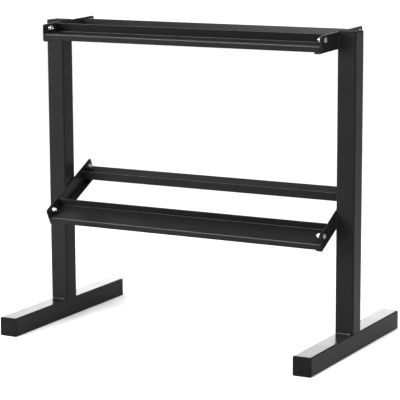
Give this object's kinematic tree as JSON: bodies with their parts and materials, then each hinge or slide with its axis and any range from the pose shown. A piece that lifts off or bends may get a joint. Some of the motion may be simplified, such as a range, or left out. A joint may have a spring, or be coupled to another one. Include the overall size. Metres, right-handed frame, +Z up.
{
  "type": "dumbbell rack",
  "caption": "Low free-standing steel rack whose paired rails form one near-level tier and one forward-leaning tier for dumbbells.",
  "frame": {"origin": "on the floor under the middle of the rack, at the centre of the feet", "axes": "+X along the rails to the right end frame, +Y to the back, +Z up; users stand on the -Y side"},
  "size_m": [0.905, 0.55, 0.8186],
  "materials": {
    "frame_paint": "satin black powder coat on steel",
    "cap_plastic": "moulded black polyethylene",
    "fastener_zinc": "bright zinc plating"
  },
  "bodies": {
    "root": {"left_base_front_weld": "frame_paint", "left_base_rear_weld": "frame_paint", "left_foot": "frame_paint", "left_foot_front_cap": "cap_plastic", "left_foot_rear_cap": "cap_plastic", "left_upright": "frame_paint", "left_upright_cap": "cap_plastic", "lower_front_rail": "frame_paint", "lower_left_bracket": "frame_paint", "lower_left_bracket_front_weld": "frame_paint", "lower_left_bracket_rear_weld": "frame_paint", "lower_left_front_bolt": "fastener_zinc", "lower_left_front_nut": "fastener_zinc", "lower_left_front_washer": "fastener_zinc", "lower_left_rear_bolt": "fastener_zinc", "lower_left_rear_nut": "fastener_zinc", "lower_left_rear_washer": "fastener_zinc", "lower_rear_rail": "frame_paint", "lower_right_bracket": "frame_paint", "lower_right_bracket_front_weld": "frame_paint", "lower_right_bracket_rear_weld": "frame_paint", "lower_right_front_bolt": "fastener_zinc", "lower_right_front_nut": "fastener_zinc", "lower_right_front_washer": "fastener_zinc", "lower_right_rear_bolt": "fastener_zinc", "lower_right_rear_nut": "fastener_zinc", "lower_right_rear_washer": "fastener_zinc", "right_base_front_weld": "frame_paint", "right_base_rear_weld": "frame_paint", "right_foot": "frame_paint", "right_foot_front_cap": "cap_plastic", "right_foot_rear_cap": "cap_plastic", "right_upright": "frame_paint", "right_upright_cap": "cap_plastic", "upper_front_rail": "frame_paint", "upper_left_bracket": "frame_paint", "upper_left_bracket_front_weld": "frame_paint", "upper_left_bracket_rear_weld": "frame_paint", "upper_left_front_bolt": "fastener_zinc", "upper_left_front_nut": "fastener_zinc", "upper_left_front_washer": "fastener_zinc", "upper_left_rear_bolt": "fastener_zinc", "upper_left_rear_nut": "fastener_zinc", "upper_left_rear_washer": "fastener_zinc", "upper_rear_rail": "frame_paint", "upper_right_bracket": "frame_paint", "upper_right_bracket_front_weld": "frame_paint", "upper_right_bracket_rear_weld": "frame_paint", "upper_right_front_bolt": "fastener_zinc", "upper_right_front_nut": "fastener_zinc", "upper_right_front_washer": "fastener_zinc", "upper_right_rear_bolt": "fastener_zinc", "upper_right_rear_nut": "fastener_zinc", "upper_right_rear_washer": "fastener_zinc"}
  },
  "joints": []
}
